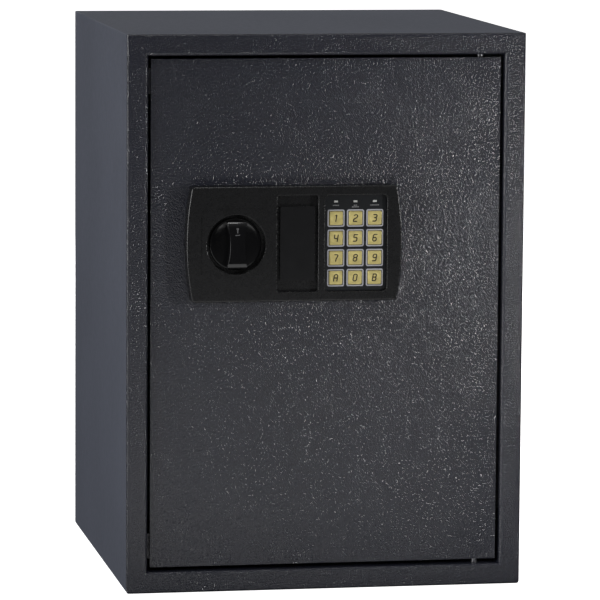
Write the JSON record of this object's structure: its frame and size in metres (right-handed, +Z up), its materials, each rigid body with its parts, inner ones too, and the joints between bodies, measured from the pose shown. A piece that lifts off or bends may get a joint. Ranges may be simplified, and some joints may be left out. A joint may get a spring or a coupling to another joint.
{
  "type": "safe",
  "caption": "Upright steel security safe with a recessed hinged door, electronic keypad lock panel, turning bolt knob, override lock cover and a lift-out shelf.",
  "frame": {"origin": "centre of the underside of the cabinet's floor", "axes": "+Z up, the door faces -Y, +X to the right as seen from the front (hinge side)"},
  "size_m": [0.36, 0.376, 0.5],
  "materials": {
    "cabinet_paint": "smooth matte powder coat, bluish grey",
    "front_paint": "hammered powder coat, dark grey",
    "bright_steel": "zinc plated steel",
    "felt": "needled felt",
    "panel_plastic": "fine moulded texture, satin",
    "knob_plastic": "gloss black",
    "cover_plastic": "satin black",
    "overlay_plastic": "satin dark grey",
    "key_gold": "satin gold",
    "frame_grey": "satin grey",
    "lamp_clear": "clear, unlit",
    "board_green": "solder mask",
    "black_plastic": "satin black",
    "brass": "turned brass",
    "copper_coil": "varnished winding",
    "cell_wrap": "plain printed sleeve",
    "wire_red": "insulation",
    "reset_red": "satin red"
  },
  "bodies": {
    "cabinet": {"body_shell": "cabinet_paint", "front_frame": "front_paint", "back_panel": "cabinet_paint", "hinge_plates": "front_paint", "door_stops": "front_paint", "shelf_ledges": "cabinet_paint", "floor_mat": "felt"},
    "shelf": {"shelf": "cabinet_paint"},
    "door": {"door_plate": "front_paint", "hinge_brackets": "front_paint", "hinge_pins": "bright_steel", "anti_pry_bar": "front_paint", "bolt_guide_channel": "front_paint", "carriage_studs": "bright_steel", "spindle_bush": "brass", "lock_panel": "panel_plastic", "panel_screws": "bright_steel", "keypad_overlay": "overlay_plastic", "key_frames": "frame_grey", "status_lamps": "lamp_clear", "keypad_board": "board_green", "buzzer": "black_plastic", "override_lock_body": "bright_steel", "override_lock_nut": "bright_steel", "solenoid_frame": "bright_steel", "solenoid_coil": "copper_coil", "plunger_spring": "bright_steel", "mechanism_cover": "cabinet_paint", "cover_screws": "bright_steel", "battery_tray": "black_plastic", "batteries": "cell_wrap", "battery_contacts": "bright_steel", "reset_switch": "black_plastic", "wiring_loom": "wire_red"},
    "knob": {"knob": "knob_plastic", "knob_spindle": "bright_steel", "drive_cam": "bright_steel", "spindle_clip": "bright_steel"},
    "bolt_work": {"locking_bolts": "bright_steel", "bolt_carriage": "bright_steel", "bolt_screws": "bright_steel"},
    "plunger": {"solenoid_plunger": "bright_steel"},
    "key_cover": {"key_cover": "cover_plastic"},
    "override_lock": {"override_plug": "brass", "override_cam": "bright_steel"},
    "battery_lid": {"battery_lid": "black_plastic"},
    "reset_button": {"reset_button": "reset_red"},
    "key_1": {"key_1": "key_gold"},
    "key_2": {"key_2": "key_gold"},
    "key_3": {"key_3": "key_gold"},
    "key_4": {"key_4": "key_gold"},
    "key_5": {"key_5": "key_gold"},
    "key_6": {"key_6": "key_gold"},
    "key_7": {"key_7": "key_gold"},
    "key_8": {"key_8": "key_gold"},
    "key_9": {"key_9": "key_gold"},
    "key_a": {"key_a": "key_gold"},
    "key_0": {"key_0": "key_gold"},
    "key_b": {"key_b": "key_gold"}
  },
  "joints": [
    {"name": "door_swing", "type": "hinge", "parent": "cabinet", "child": "door", "pos_m": [0.1408, -0.167, 0.25], "axis": [0, 0, 1], "range_deg": [0, 105]},
    {"name": "shelf_lift", "type": "slide", "parent": "cabinet", "child": "shelf", "axis": [0, 0, 1], "range_m": [0, 0.1]},
    {"name": "bolt_slide", "type": "slide", "parent": "door", "child": "bolt_work", "axis": [-1, 0, 0], "range_m": [0, 0.015]},
    {"name": "knob_turn", "type": "hinge", "parent": "door", "child": "knob", "pos_m": [-0.0833, -0.18, 0.314], "axis": [0, -1, 0], "range_deg": [-0.05, 60.05]},
    {"name": "solenoid_drop", "type": "slide", "parent": "door", "child": "plunger", "axis": [0, 0, -1], "range_m": [0, 0.005], "stiffness_N_per_m": 100, "springref_m": 0.005, "deforming": ["plunger_spring"]},
    {"name": "override_turn", "type": "hinge", "parent": "door", "child": "override_lock", "pos_m": [-0.028, -0.18, 0.326], "axis": [0, -1, 0], "range_deg": [-90, 0]},
    {"name": "key_cover_pull", "type": "slide", "parent": "door", "child": "key_cover", "axis": [0, -1, 0], "range_m": [0, 0.03]},
    {"name": "battery_lid_open", "type": "hinge", "parent": "door", "child": "battery_lid", "pos_m": [0.06, -0.1232, 0.3071], "axis": [-1, 0, 0], "range_deg": [0, 90]},
    {"name": "reset_press", "type": "slide", "parent": "door", "child": "reset_button", "axis": [0, -1, 0], "range_m": [0, 0.0015], "stiffness_N_per_m": 400},
    {"name": "key_1_press", "type": "slide", "parent": "door", "child": "key_1", "axis": [0, 1, 0], "range_m": [0, 0.001], "stiffness_N_per_m": 500},
    {"name": "key_2_press", "type": "slide", "parent": "door", "child": "key_2", "axis": [0, 1, 0], "range_m": [0, 0.001], "stiffness_N_per_m": 500},
    {"name": "key_3_press", "type": "slide", "parent": "door", "child": "key_3", "axis": [0, 1, 0], "range_m": [0, 0.001], "stiffness_N_per_m": 500},
    {"name": "key_4_press", "type": "slide", "parent": "door", "child": "key_4", "axis": [0, 1, 0], "range_m": [0, 0.001], "stiffness_N_per_m": 500},
    {"name": "key_5_press", "type": "slide", "parent": "door", "child": "key_5", "axis": [0, 1, 0], "range_m": [0, 0.001], "stiffness_N_per_m": 500},
    {"name": "key_6_press", "type": "slide", "parent": "door", "child": "key_6", "axis": [0, 1, 0], "range_m": [0, 0.001], "stiffness_N_per_m": 500},
    {"name": "key_7_press", "type": "slide", "parent": "door", "child": "key_7", "axis": [0, 1, 0], "range_m": [0, 0.001], "stiffness_N_per_m": 500},
    {"name": "key_8_press", "type": "slide", "parent": "door", "child": "key_8", "axis": [0, 1, 0], "range_m": [0, 0.001], "stiffness_N_per_m": 500},
    {"name": "key_9_press", "type": "slide", "parent": "door", "child": "key_9", "axis": [0, 1, 0], "range_m": [0, 0.001], "stiffness_N_per_m": 500},
    {"name": "key_a_press", "type": "slide", "parent": "door", "child": "key_a", "axis": [0, 1, 0], "range_m": [0, 0.001], "stiffness_N_per_m": 500},
    {"name": "key_0_press", "type": "slide", "parent": "door", "child": "key_0", "axis": [0, 1, 0], "range_m": [0, 0.001], "stiffness_N_per_m": 500},
    {"name": "key_b_press", "type": "slide", "parent": "door", "child": "key_b", "axis": [0, 1, 0], "range_m": [0, 0.001], "stiffness_N_per_m": 500}
  ],
  "couplings": [
    {"joint": "knob_turn", "follows": "bolt_slide", "rad_per_m": 69.813}
  ]
}
